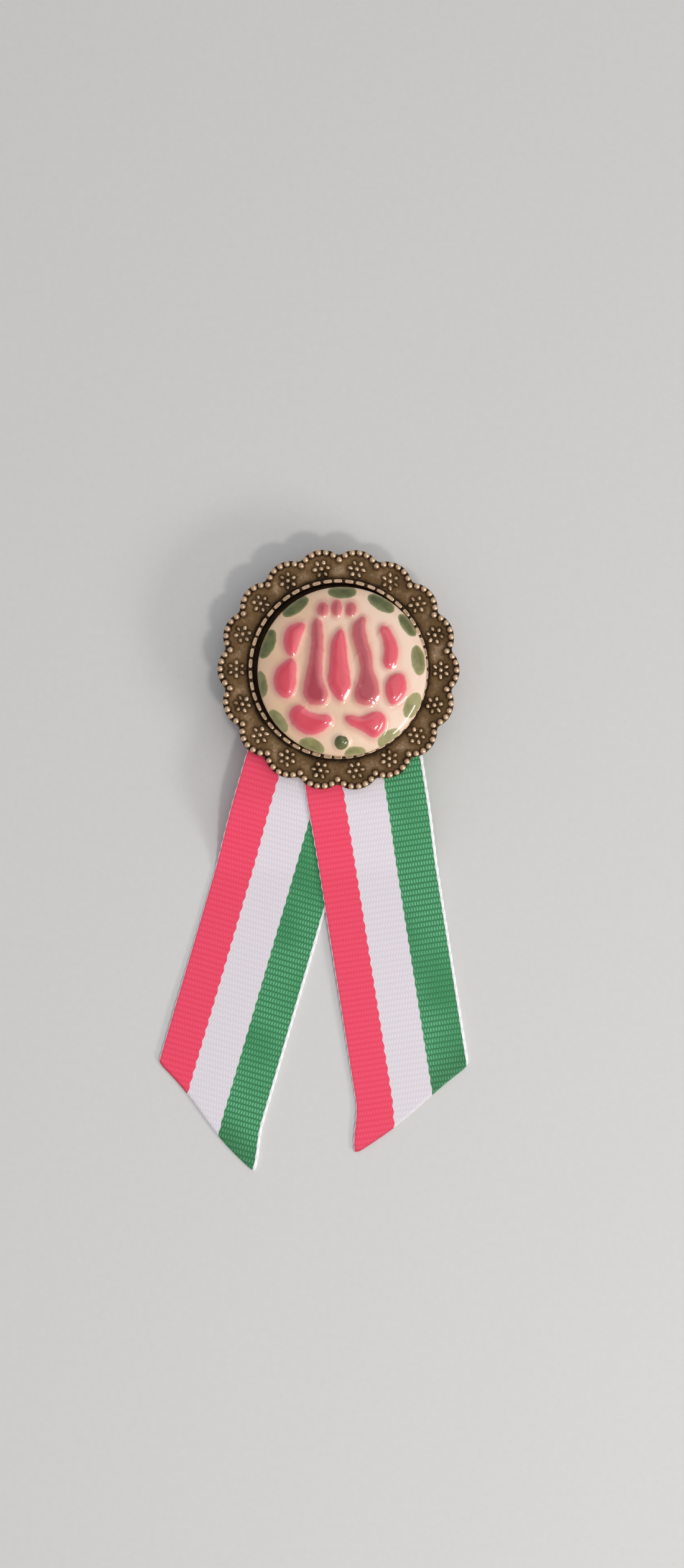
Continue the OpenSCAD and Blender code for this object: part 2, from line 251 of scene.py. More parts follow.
# ---- Material helpers ----
class Graph:
    """Short calls for the nodes of one material; a socket or a number may be passed anywhere."""

    def __init__(self, name):
        self.material = bpy.data.materials.new(name)
        self.material.use_nodes = True
        self.tree = self.material.node_tree
        self.shader = self.tree.nodes["Principled BSDF"]

    def put(self, socket, value):
        """Links an output socket to an input, or sets the input to a number or colour."""
        if isinstance(value, bpy.types.NodeSocket):
            self.tree.links.new(value, socket)
        elif isinstance(value, tuple) and len(value) == 3 and socket.type == "RGBA":
            socket.default_value = (*value, 1.0)
        else:
            socket.default_value = value

    def node(self, kind, **settings):
        node = self.tree.nodes.new("ShaderNode" + kind)
        for key, value in settings.items():
            setattr(node, key, value)
        return node

    def set(self, **values):
        for key, value in values.items():
            self.put(self.shader.inputs[key.replace("_", " ")], value)

    def attribute(self, name, output="Fac"):
        return self.node("Attribute", attribute_name=name).outputs[output]

    def place(self):
        return self.node("TexCoord").outputs["Object"]

    def math(self, operation, a, b=0.0, clamp=False):
        node = self.node("Math", operation=operation, use_clamp=clamp)
        self.put(node.inputs[0], a)
        self.put(node.inputs[1], b)
        return node.outputs[0]

    def between(self, value, low, high, smooth=True):
        """0 at low and 1 at high, clamped."""
        node = self.node("MapRange", interpolation_type="SMOOTHSTEP" if smooth else "LINEAR")
        for socket, given in zip(("Value", "From Min", "From Max"), (value, low, high)):
            self.put(node.inputs[socket], given)
        return node.outputs[0]

    def noise(self, scale, detail=3.0, vector=None):
        node = self.node("TexNoise")
        self.put(node.inputs["Vector"], vector or self.place())
        self.put(node.inputs["Scale"], scale)
        self.put(node.inputs["Detail"], detail)
        return node.outputs[0]

    def mix(self, factor, a, b):
        """Colour a at 0 and b at 1; 6, 7 and 2 are the Mix node's colour sockets."""
        node = self.node("Mix", data_type="RGBA")
        self.put(node.inputs["Factor"], factor)
        self.put(node.inputs[6], a)
        self.put(node.inputs[7], b)
        return node.outputs[2]

    def bump(self, height, strength, distance, normal=None):
        node = self.node("Bump")
        self.put(node.inputs["Height"], height)
        self.put(node.inputs["Strength"], strength)
        self.put(node.inputs["Distance"], distance)
        if normal:
            self.put(node.inputs["Normal"], normal)
        return node.outputs[0]


def srgb(red, green, blue):
    """A linear colour from the 0 to 255 values that a picture editor shows."""
    def linear(c):
        c /= 255
        return c / 12.92 if c <= 0.04045 else ((c + 0.055) / 1.055) ** 2.4
    return (linear(red), linear(green), linear(blue))


# ---- Materials ----
def antique_bronze():
    """Brass that has been darkened and rubbed back: relief is 0 in the hollows, 1 on the high points;
    the dark of the hollows is patina and painted shade.
    """
    g = Graph("antique_bronze")
    relief = g.attribute("relief")
    blotch = g.noise(420, 4.0)
    fine = g.noise(2600, 3.0)
    worn = g.math("ADD", relief, g.math("MULTIPLY", g.math("SUBTRACT", blotch, 0.5), 0.6))
    worn = g.math("ADD", worn, g.math("MULTIPLY", g.math("SUBTRACT", fine, 0.5), 0.3), clamp=True)
    low = g.mix(g.between(worn, 0.0, 0.45), srgb(44, 30, 18), srgb(114, 87, 56))
    colour = g.mix(g.between(worn, 0.42, 0.95), low, srgb(220, 189, 157))
    g.set(Base_Color=colour, Metallic=0.85)
    g.set(Roughness=g.math("SUBTRACT", 0.6, g.math("MULTIPLY", worn, 0.2)))
    g.set(Normal=g.bump(g.noise(1500, 4.0), 0.25, 0.00006, g.bump(blotch, 0.2, 0.0002)))
    return g.material


def glazed_ceramic():
    """Cream glaze with red, rose and green slip under one clear coat."""
    g = Graph("cabochon_glaze")
    wobble = g.math("MULTIPLY", g.math("SUBTRACT", g.noise(900, 3.0), 0.5), 0.35)
    cloud = g.noise(260, 3.0)

    def inside(name, low, high):
        return g.between(g.math("ADD", g.attribute(name), wobble), low, high)

    cream = g.mix(g.attribute("warm"), srgb(252, 226, 207), srgb(248, 206, 165))
    cream = g.mix(g.math("MULTIPLY", cloud, 0.5), cream, srgb(241, 202, 170))
    blush = g.mix(g.math("MULTIPLY", inside("red", -1.3, 0.1), 0.6), cream, srgb(242, 162, 150))
    blush = g.mix(g.math("MULTIPLY", inside("rose", -1.2, 0.1), 0.6), blush, srgb(234, 158, 142))
    red = g.mix(inside("red", 0.1, 1.1), srgb(240, 100, 114), srgb(226, 48, 74))
    red = g.mix(g.math("MULTIPLY", cloud, 0.4), red, srgb(242, 118, 126))
    rose = g.mix(inside("rose", 0.1, 1.2), srgb(222, 114, 116), srgb(180, 50, 66))
    mottle = g.between(g.noise(500, 4.0), 0.3, 0.7)
    green = g.mix(mottle, srgb(72, 77, 26), srgb(110, 113, 52))
    faded = g.mix(mottle, srgb(130, 124, 66), srgb(164, 156, 100))
    spot = g.mix(g.attribute("fade"), green, faded)
    spot = g.mix(inside("spot", -0.2, 0.3), g.mix(0.3, spot, srgb(176, 178, 120)), spot)
    colour = g.mix(inside("spot", -0.34, -0.1), blush, spot)
    colour = g.mix(inside("dot", -0.06, 0.14), colour, green)
    colour = g.mix(inside("rose", -0.16, 0.26), colour, rose)
    colour = g.mix(inside("red", -0.16, 0.24), colour, red)
    g.set(Base_Color=colour, Roughness=0.35, Coat_Weight=1.0, Coat_Roughness=0.03, Coat_IOR=1.5)
    g.set(Normal=g.bump(cloud, 0.12, 0.0004), Coat_Normal=g.bump(g.noise(380, 1.0), 0.1, 0.0003))
    return g.material


def ribbon_weave():
    """Grosgrain in three stripes; weave holds a point's place across and along the flat ribbon."""
    g = Graph("ribbon_weave")
    split = g.node("SeparateXYZ")
    g.put(split.inputs[0], g.attribute("weave", "Vector"))
    across, along = split.outputs[0], split.outputs[1]
    rib = g.math("DIVIDE", along, RIB)
    row = g.math("FLOOR", rib)
    swell = g.math("ABSOLUTE", g.math("SINE", g.math("MULTIPLY", rib, math.pi)))
    two_ribs = g.math("ABSOLUTE", g.math("SINE", g.math("MULTIPLY", rib, math.pi / 2)))
    parity = g.math("MULTIPLY", row, math.pi)
    thread = g.math("COSINE", g.math("ADD", g.math("MULTIPLY", across, 2 * math.pi / THREAD), parity))
    dash = g.math("MULTIPLY", g.math("ADD", g.math("MULTIPLY", thread, 0.5), 0.5), swell)
    fibre = g.noise(5200, 2.0)

    def past(edge, soft, scallop):
        """1 past a woven edge that steps out and back once in two ribs."""
        waved = g.math("ADD", across, g.math("MULTIPLY", two_ribs, scallop))
        return g.between(waved, edge - soft, edge + soft, False)

    is_white = past(WHITE_FROM, 0.04, -0.22)
    is_green = past(GREEN_FROM, 0.05, 0.16)
    selvedge = g.math("MAXIMUM", past(SELVEDGE_FROM, 0.04, 0.08), past(PICOT_TO, -0.02, -0.08))
    # Valleys between the ribs, dotted across: the mask of the painted shade in the valleys.
    gap = g.math("POWER", g.math("SUBTRACT", 1.0, swell), 2.0)
    knot = g.math("COSINE", g.math("MULTIPLY", across, 4 * math.pi / THREAD))
    valley_shade = g.math("MULTIPLY", gap, g.math("ADD", g.math("MULTIPLY", knot, 0.4), 0.6))

    # Red a little lighter on the rib tops and thread tops: painted highlight and painted shade across
    # the ribs, low in contrast.
    red = g.mix(swell, srgb(246, 58, 92), srgb(254, 68, 104))
    red = g.mix(g.math("MULTIPLY", dash, 0.16), red, srgb(255, 122, 146))
    # White brighter on the thread tops: painted glints.
    white = g.mix(g.math("MULTIPLY", dash, 0.7), srgb(229, 220, 226), srgb(247, 240, 245))
    # Green thread tops lighter, more so in soft patches: painted highlight and sheen.
    sheen_patches = g.between(g.noise(70, 2.0), 0.25, 0.6)
    green = g.mix(g.math("MULTIPLY", dash, sheen_patches), srgb(50, 142, 84), srgb(113, 198, 146))
    # Dotted dark lines in the rib valleys of the green: painted shade.
    green = g.mix(g.math("MULTIPLY", valley_shade, 0.85), green, srgb(14, 84, 46))
    # Green darker from 7 mm to 1 mm from a cut end: painted shade towards the tips.
    shade_near_cut = g.math("MULTIPLY", g.between(g.attribute("cut"), 7.0, 1.0), 0.45)
    green = g.mix(shade_near_cut, green, srgb(20, 92, 44))
    colour = g.mix(is_white, red, white)
    colour = g.mix(is_green, colour, green)
    colour = g.mix(selvedge, colour, srgb(252, 250, 251))
    sealed = g.math("MULTIPLY", g.between(g.attribute("cut"), 0.75, 0.0), 0.5)
    dark = g.node("Mix", data_type="RGBA", blend_type="MULTIPLY")
    g.put(dark.inputs["Factor"], g.math("MULTIPLY", sealed, g.math("SUBTRACT", 1.15, is_white)))
    g.put(dark.inputs[6], colour)
    g.put(dark.inputs[7], (0.35, 0.4, 0.35))
    g.set(Base_Color=dark.outputs[2], Roughness=0.62, Sheen_Weight=0.25, Sheen_Roughness=0.4)
    height = g.math("ADD", g.math("MULTIPLY", dash, 0.7), g.math("MULTIPLY", fibre, 0.3))
    strong = g.math("ADD", 0.2, g.math("MULTIPLY", is_green, 0.6))
    g.set(Normal=g.bump(height, strong, 0.00012))
    return g.material


def clear_glue():
    """Set adhesive, cloudy where it is thick."""
    g = Graph("clear_glue")
    cloud = g.noise(500, 3.0)
    g.set(Base_Color=g.mix(cloud, srgb(196, 188, 168), srgb(226, 220, 204)), Roughness=0.22)
    g.set(Coat_Weight=0.5, Normal=g.bump(g.noise(700, 2.0), 0.3, 0.0002))
    return g.material


def nickel_steel():
    """Nickel plate with drawn lines and a few dull patches."""
    g = Graph("nickel_steel")
    stretch = g.node("Mapping")
    g.put(stretch.inputs["Vector"], g.place())
    g.put(stretch.inputs["Scale"], (0.08, 1.0, 1.0))
    lines = g.noise(6000, 3.0, vector=stretch.outputs[0])
    patch = g.noise(300, 3.0)
    g.set(Base_Color=g.mix(patch, srgb(196, 194, 190), srgb(168, 165, 160)), Metallic=1.0)
    rough = g.math("ADD", 0.2, g.math("MULTIPLY", patch, 0.2))
    g.set(Roughness=g.math("ADD", rough, g.math("MULTIPLY", lines, 0.08)))
    g.set(Normal=g.bump(lines, 0.15, 0.00004))
    return g.material


def brass_satin():
    """Turned brass of the safety roller."""
    g = Graph("brass_roller")
    patch = g.noise(450, 3.0)
    lines = g.noise(4200, 2.0)
    g.set(Base_Color=g.mix(patch, srgb(214, 180, 108), srgb(184, 148, 84)), Metallic=1.0)
    g.set(Roughness=g.math("ADD", 0.24, g.math("MULTIPLY", lines, 0.16)))
    g.set(Normal=g.bump(lines, 0.12, 0.00004))
    return g.material


def floor_paper():
    """Matt pale paper."""
    g = Graph("floor_paper")
    grain = g.noise(900, 3.0)
    g.set(Base_Color=g.mix(grain, srgb(218, 216, 213), srgb(224, 222, 219)), Roughness=0.85)
    return g.material


# ---- Bezel ----
def scallop_phase(angle):
    """Angle from the nearest scallop's centre line."""
    return (angle - FIRST_SCALLOP + STEP / 2) % STEP - STEP / 2


def rim_outline(angle):
    """Outer radius of the scalloped rim, with its notches softened."""
    reach = BEAD_LINE_R + RIM_OUT
    phase = scallop_phase(angle)
    radius = RING_R * np.cos(phase) + np.sqrt(reach ** 2 - (RING_R * np.sin(phase)) ** 2)
    near = range(-4, 5)
    return sum(np.roll(radius, k) for k in near) / len(near)


def bead_places():
    """Centre of each bead on the rim; the notch bead stands where two scallops' lines cross."""
    half = STEP / 2
    arc = half + math.asin(RING_R * math.sin(half) / BEAD_LINE_R)
    places = []
    for i in range(SCALLOPS):
        for k in range(BEADS_PER_SCALLOP):
            a = -arc + 2 * arc * k / BEADS_PER_SCALLOP
            local = [RING_R + BEAD_LINE_R * math.cos(a), BEAD_LINE_R * math.sin(a), 0]
            places.append(turn(local, FIRST_SCALLOP + i * STEP))
    return np.array(places)


def flower_places():
    """Centre and turn of each flower."""
    return [(turn([FLOWER_R, 0, 0], a), a) for a in FIRST_SCALLOP + STEP * np.arange(SCALLOPS)]


def petal_places():
    """Place, turn and number of each flower's centre, numbered None, and of its petals."""
    spots = []
    for centre, angle in flower_places():
        spots.append((centre, angle, None))
        for k in range(PETALS):
            a = angle + 2 * math.pi * (k + 0.5) / PETALS
            spots.append((centre + turn([PETAL_RING_R, 0, 0], a), a, k))
    return spots


def field_height(q):
    """The field is a shallow cove that rises to the rim; q is 0 at the collar and 1 at the rim."""
    return FIELD_Z - 0.2 + 0.34 * np.clip(q, 0, 1) ** 2.2 + 0.12 * np.clip(1 - q * 8, 0, 1) ** 2


def bezel_plate():
    """The tray in rings from the middle of its back, round the rim, over the collar, to its floor."""
    turns = 1080
    angle = np.linspace(0, 2 * np.pi, turns, endpoint=False)
    rim = rim_outline(angle)
    inner = rim - RIM_W
    rows = []

    def ring(radius, height, relief):
        rows.append([radius + 0 * rim, height + 0 * rim, relief + 0 * rim])

    # The flat back.
    for radius in (1.5, 5, 9, 12.5, 15.5):
        ring(radius, PLATE_Z, 0.3)
    ring(rim - 1.2, PLATE_Z, 0.35)
    # The rounded rim, up to the ledge that the beads stand on.
    for out, up, relief in ((0.3, 0.0, 0.5), (0.08, 0.08, 0.7), (0.0, 0.28, 0.6), (0.0, 0.62, 0.5),
                            (0.05, 0.86, 0.45), (0.2, 1.0, 0.35), (0.5, 1.04, 0.1), (0.85, 1.0, 0.05)):
        ring(rim - out, PLATE_Z + up, relief)
    # The field, from the rim in to the collar, rubbed lighter between the flowers.
    foot = COLLAR_R + 0.06
    between_flowers = np.sin(math.pi * scallop_phase(angle) / STEP) ** 2
    for q in 1 - np.linspace(0, 1, 18) ** 1.1:
        rubbed = 0.41 + 0.16 * between_flowers * math.sin(math.pi * q)
        ring(foot + q * (inner - foot), field_height(q), rubbed)
    # The collar, up from its foot, over its top and down inside, and then the cup's floor.
    for out, down, relief in ((0.02, 0.72, 0.0), (0.0, 0.45, 0.0), (0.0, 0.14, 0.25), (-0.05, 0.03, 0.5),
                              (-0.14, 0.0, 0.12), (-0.35, 0.0, 0.0), (-0.56, 0.0, 0.1),
                              (-0.66, 0.04, 0.3), (-0.7, 0.16, 0.1), (-0.7, 0.5, 0.0), (-0.7, 0.9, 0.0)):
        ring(COLLAR_R + out, COLLAR_Z - down, relief)
    for radius in (CUP_R - 0.2, 10, 5, 1.5):
        ring(radius, FIELD_Z - 0.1, 0.0)
    data = np.array(rows)
    points = np.stack([data[:, 0] * np.cos(angle), data[:, 0] * np.sin(angle), data[:, 1]], -1)
    # The corners are darkened by patina and painted shade, taken off the relief.
    relief = data[:, 2] - hollows(points.reshape(-1, 3)).reshape(data[:, 2].shape)
    shape = Shape().add(points, grid(len(rows), turns, wrap=True), relief=relief.ravel())
    shape.face(range(turns))
    shape.face(range(shape.count - turns, shape.count))
    mesh = shape.mesh("bezel_tray")
    outward(mesh)
    return mesh


def hollows(points):
    """How dark the corners round the beads, the flowers and the collar's foot are made: patina and
    painted shade.
    """
    dark = np.zeros(len(points))
    on_face = points[:, 2] > PLATE_Z + 0.6
    p = points[on_face][:, :2]
    flower_lumps = np.array([spot[0] for spot in petal_places()])
    for places, radius, reach in ((bead_places(), 0.45, 0.3), (flower_lumps, 0.36, 0.28)):
        gap = np.full(len(p), FAR)
        for spot in places:
            gap = np.minimum(gap, np.hypot(p[:, 0] - spot[0], p[:, 1] - spot[1]) - radius)
        patina_and_shade = 0.3 * np.exp(-(np.clip(gap, 0, FAR) / reach) ** 2)
        dark[on_face] = np.maximum(dark[on_face], patina_and_shade)
    foot = np.hypot(p[:, 0], p[:, 1]) - COLLAR_R
    patina_and_shade = np.where(foot > 0, 0.45 * np.exp(-(foot / 0.6) ** 2), 0)
    dark[on_face] = np.maximum(dark[on_face], patina_and_shade)
    return dark


def lump(shape, centre, size, angle, low, high):
    """An oval lump; relief runs from 0 at height low to 1 at height high."""
    points = turn(BALL_POINTS * np.asarray(size), angle) + np.asarray(centre)
    relief = np.clip((points[:, 2] - low) / (high - low), 0, 1)
    shape.add(points, BALL_FACES, relief=relief)


def bead_border():
    """Cast beads, none quite alike."""
    shape = Shape()
    z = FIELD_Z + 0.2
    for place in bead_places():
        size = BEAD_R * (1 + 0.03 * rng.standard_normal(3))
        jitter = 0.02 * rng.standard_normal(3)
        lump(shape, place + [0, 0, z] + jitter, size, rng.uniform(0, 6), z - 0.45, z + 0.25)
    return shape.mesh("bead_border")


def flower_relief():
    """Six-petalled flowers, each petal worn by its own amount."""
    shape = Shape()
    z = FIELD_Z - 0.12
    centre_size = (0.42, 0.42, 0.48)
    petal_size = np.array([0.48, 0.39, 0.32])
    for place, angle, k in petal_places():
        if k is None:
            lump(shape, place + [0, 0, z], centre_size, angle, z - 0.1, z + 0.36)
        else:
            size = petal_size * (1 + 0.06 * rng.standard_normal(3))
            worn = 0.3 + 0.2 * rng.random()
            tilt = 0.08 * rng.standard_normal()
            lump(shape, place + [0, 0, z], size, angle + tilt, z - 0.08, z + worn)
    return shape.mesh("flower_relief")


def collar_pads():
    """Fifty cushions with a worn edge and a slightly sunk, darker middle."""
    shape = Shape()
    cols, rows = 13, 9
    half_l = math.pi * CUP_R / PADS - 0.11
    base, height = 0.1, 0.16
    u, v = np.meshgrid(np.linspace(-1, 1, cols), np.linspace(-1, 1, rows))
    edge = np.maximum(abs(u), abs(v))
    narrow = (1.02 - np.clip((abs(u) - 0.4) / 0.6, 0, 1) ** 2.4) ** 0.5
    crown = (1 - edge ** 8) ** 0.5 * (1 - 0.3 * (1 - u ** 4) * (1 - v ** 2))
    for i in range(PADS):
        angle = (i + 0.5) * 2 * math.pi / PADS + 0.004 * rng.standard_normal()
        grow = 1 + 0.03 * rng.standard_normal()
        x = CUP_R + 0.36 + PAD_HALF_W * v * narrow
        y = half_l * grow * u * (1 - 0.04 * v ** 4)
        z = COLLAR_Z - base + (height + base) * crown
        relief = 0.74 + 0.26 * edge ** 2 * (crown > 0.3)
        points = turn(np.stack([x, y, z], -1).reshape(-1, 3), angle)
        shape.add(points, grid(rows, cols), relief=relief.ravel())
    mesh = shape.mesh("collar_pads")
    outward(mesh)
    return mesh


def make_bezel(material):
    """The casting, in the four nodes that the CAD splits it into."""
    for name, mesh in (("bezel_tray", bezel_plate()), ("bead_border", bead_border()),
                       ("flower_relief", flower_relief()), ("collar_pads", collar_pads())):
        piece(name + "_cast", mesh, material, "medallion", [name])


# ---- Cabochon ----
def plan_edges(node):
    """The plan outline of a raised stroke, as segments taken from its upright CAD faces."""
    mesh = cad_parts[node].data
    points = np.array([v.co for v in mesh.vertices]) / MM
    segments = set()
    for polygon in mesh.polygons:
        if abs(polygon.normal.z) > 0.05:
            continue
        corners = [tuple(np.round(points[i, :2], 3)) for i in polygon.vertices]
        pairs = [(a, b) for a in corners for b in corners if a < b]
        if pairs:
            segments.add(max(pairs, key=lambda s: math.dist(*s)))
    return np.array(sorted(segments))


def covered(points, node):
    """Whether a plan point lies under a CAD node's top, by a ray dropped on it."""
    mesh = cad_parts[node].data
    tree = BVHTree.FromPolygons([v.co / MM for v in mesh.vertices], [p.vertices for p in mesh.polygons])
    low, high = box(node)
    near = np.all((points > low[:2]) & (points < high[:2]), axis=1)
    hit = np.zeros(len(points), bool)
    for i in np.nonzero(near)[0]:
        hit[i] = tree.ray_cast((points[i, 0], points[i, 1], high[2] + 1), (0, 0, -1))[0] is not None
    return hit


def inside_by(points, node):
    """Distance in millimetres to a stroke's outline, positive inside it."""
    distance = np.full(len(points), 10 * FAR)
    x, y = points[:, 0], points[:, 1]
    for (ax, ay), (bx, by) in plan_edges(node):
        dx, dy = bx - ax, by - ay
        t = np.clip(((x - ax) * dx + (y - ay) * dy) / (dx * dx + dy * dy), 0, 1)
        distance = np.minimum(distance, np.hypot(x - ax - t * dx, y - ay - t * dy))
    return np.where(covered(points, node), distance, -distance)


def mound(inside, width, height):
    """A puffed mound that starts a little outside its outline."""
    p = np.clip((inside + 0.3) / width, 0, 1)
    return height * (1 - (1 - p) ** 2)


def melted(height, passes):
    """Heights on a square grid with their creases smoothed away, as glaze flows."""
    for _ in range(passes):
        padded = np.pad(height, 1, mode="edge")
        beside = padded[:-2, 1:-1] + padded[2:, 1:-1] + padded[1:-1, :-2] + padded[1:-1, 2:]
        height = 0.5 * height + 0.125 * beside
    return height


def disc_places(n):
    """An even grid of n by n points pressed into a unit disc: radius and angle."""
    a, b = np.meshgrid(np.linspace(-1, 1, n), np.linspace(-1, 1, n))
    wide = abs(a) > abs(b)
    radius = np.where(wide, a, b)
    safe = np.where(radius == 0, 1, radius)
    angle = np.where(wide, math.pi / 4 * b / safe, math.pi / 2 - math.pi / 4 * a / safe)
    return radius.ravel(), angle.ravel()


def slow_wave(x, y, size, seeds):
    """A gentle uneven swell, about -1 to 1, with a wavelength of about size."""
    total = 0
    for k in seeds:
        a = 2.4 * k
        total = total + np.sin(2 * np.pi / size * (x * math.cos(a) + y * math.sin(a)) + 1.7 * k)
    return total / len(seeds)


def dome_surface(n):
    """The smooth dome: its plan, heights and share of the radius, over an even grid."""
    t = np.linspace(0, math.pi / 2, 600)
    profile_r = CAB_R * np.sin(t) ** 0.8
    profile_z = WIDE_Z + DOME_H * np.cos(t)
    run = np.concatenate([[0], np.cumsum(np.hypot(np.diff(profile_r), np.diff(profile_z)))])
    radius, angle = disc_places(n)
    travelled = abs(radius) * run[-1]
    r = np.interp(travelled, run, profile_r) * np.sign(radius)
    z = np.interp(travelled, run, profile_z)
    return CAB_X + r * np.cos(angle), CAB_Y + r * np.sin(angle), z, abs(radius)


def stroke_depths(x, y, n):
    """How far inside the strokes of each glaze a point is, in millimetres, negative outside."""
    strokes = {
        "red": ["centre_petal", "side_petals", "lower_petals"],
        "rose": ["stamens", "crown_ovals"],
        "dot": ["green_dot"],
        "spot": ["rim_spots"],
    }
    plan = np.stack([x, y], -1)
    inside = {}
    for key, names in strokes.items():
        depth = np.clip(np.max([inside_by(plan, name) for name in names], axis=0), -3, 3)
        inside[key] = melted(depth.reshape(n, n), 6).reshape(depth.shape)
    return inside


def puffed(x, y, inside, n):
    """Height that the strokes add to the dome."""
    wander = 0.08 * slow_wave(x, y, 1.9, range(5))
    puff = mound(inside["red"] + wander, 1.55, 0.8) + mound(inside["rose"] + wander, 1.2, 0.66)
    puff = puff + mound(inside["dot"], 1.5, 0.9)
    return melted(puff.reshape(n, n), 26).reshape(puff.shape)


def cabochon():
    """One glazed mesh: the dome with its puffed strokes, its wall and its flat back."""
    n = DOME_POINTS
    x, y, z, share = dome_surface(n)
    inside = stroke_depths(x, y, n)
    away_from_rim = np.clip((1 - share) * 12, 0, 1)
    z = z + puffed(x, y, inside, n) + away_from_rim * 0.04 * slow_wave(x, y, 5.0, range(6))
    darkest = math.radians(100)
    fade = np.clip(0.62 - 1.3 * np.cos(np.arctan2(y - CAB_Y, x - CAB_X) - darkest), 0, 1)
    warm = np.clip(0.62 - 0.55 * (x - CAB_X) / CAB_R + 0.2 * slow_wave(x, y, 9.0, range(4)), 0, 1)
    values = dict(inside, fade=fade, warm=warm)
    top = np.stack([x, y, z], -1)
    shape = Shape().add(top, grid(n, n), **values)
    side = np.arange(n)
    border = np.concatenate([side[:-1], side[:-1] * n + n - 1, n * n - 1 - side[:-1],
                             n * (n - 1) - side[:-1] * n])
    rim = top[border]
    wall = [rim]
    for scale, down in ((0.998, 0.25), (0.987, 0.55), (0.965, 0.85), (0.948, 1.05), (0.946, 1.5),
                        (0.946, 1.95), (0.935, 2.0), (0.5, 2.0), (0.06, 2.0)):
        wall.append(np.stack([CAB_X + (rim[:, 0] - CAB_X) * scale,
                              CAB_Y + (rim[:, 1] - CAB_Y) * scale,
                              np.full(len(rim), WIDE_Z - down)], -1))
    rim_values = {key: np.tile(value[border], len(wall)) for key, value in values.items()}
    shape.add(np.concatenate(wall), grid(len(wall), len(rim), wrap=True), **rim_values)
    shape.face(range(shape.count - len(rim), shape.count))
    mesh = shape.mesh("cabochon")
    outward(mesh, weld=0.002)
    return mesh


def make_cabochon(material):
    """The dome stands for its own node and for every stroke on it."""
    names = ["cabochon", "centre_petal", "side_petals", "lower_petals", "stamens", "crown_ovals",
             "green_dot", "rim_spots"]
    piece("glazed_cabochon", cabochon(), material, "medallion", names)


# ---- Ribbon ----
def ply_height(y):
    """Height of the lower ply's middle over the table."""
    return (PLY_Z - HALF_PLY) * (1 - ease((HINGE_Y - y) / DROP_L)) + HALF_PLY


def folded(across, along, lift):
    """The place in space of a point of the flat ribbon, lift being its height over the middle."""
    c, s = math.cos(LEFT_LEAN), math.sin(LEFT_LEAN)
    x = across * c - along * s
    y = across * s + along * c
    fc, fs = math.cos(FOLD_LEAN), math.sin(FOLD_LEAN)
    beside = x * fc + y * fs
    beyond = -x * fs + y * fc
    bend_r = PLY_STEP / 2
    half_arc = math.pi * bend_r / 2
    psi = np.clip((beyond + half_arc) / bend_r, 0, math.pi)
    flat = abs(beyond) > half_arc
    out = np.where(flat, -abs(beyond), -half_arc + bend_r * np.sin(psi))
    layer = bend_r * (1 - np.cos(psi))
    out = out - lift * np.sin(psi)
    px = FOLD_X + beside * fc - out * fs
    py = FOLD_Y + beside * fs + out * fc
    apart = 1 - ease((LIFT_OFF_Y - py) / (LIFT_OFF_Y - TOUCH_Y))
    loose = ease((-44 - py) / 16)
    swell = 0.5 + 0.5 * slow_wave(px, py, 34.0, range(4))
    pz = ply_height(py) + layer * apart + lift * np.cos(psi) + loose * 0.3 * swell
    return np.stack([px, py, np.maximum(pz, CLEAR_OF_FLOOR)], -1)


def cross_section():
    """Places across the ribbon and the share of the half thickness there, once round."""
    inner = np.linspace(-MARGIN_FROM, MARGIN_FROM, 38)
    side = np.array([9.5, ROUND_FROM, 9.9, 9.97, RIBBON_HALF_W])
    top = np.concatenate([-side[::-1], inner, side])
    rounded = np.clip(abs(top) - ROUND_FROM, 0, 1) / (RIBBON_HALF_W - ROUND_FROM)
    share = np.sqrt(np.clip(1 - rounded ** 2, 0, 1))
    across = np.concatenate([top, top[::-1]])
    return across, np.concatenate([share, -share[::-1]])


def trimmed(u, s, cut_start, cut_end):
    """Lengths along a strip after its scissor cuts, how far each point is from them, and its flare."""
    cut = np.full(u.shape, FAR)
    flare = np.zeros(u.shape)
    side = u / RIBBON_HALF_W
    if cut_start:
        s = np.maximum(s, cut_start(u))
        cut = np.minimum(cut, s - cut_start(u))
        flare += 0.9 * ease((-82 - s) / 8) * np.clip(side, 0, 1)
    if cut_end:
        s = np.minimum(s, cut_end(u))
        cut = np.minimum(cut, cut_end(u) - s)
        flare += 1.6 * ease((s - 77) / 9) * np.clip(side, -1, 0)
    return s, cut, flare


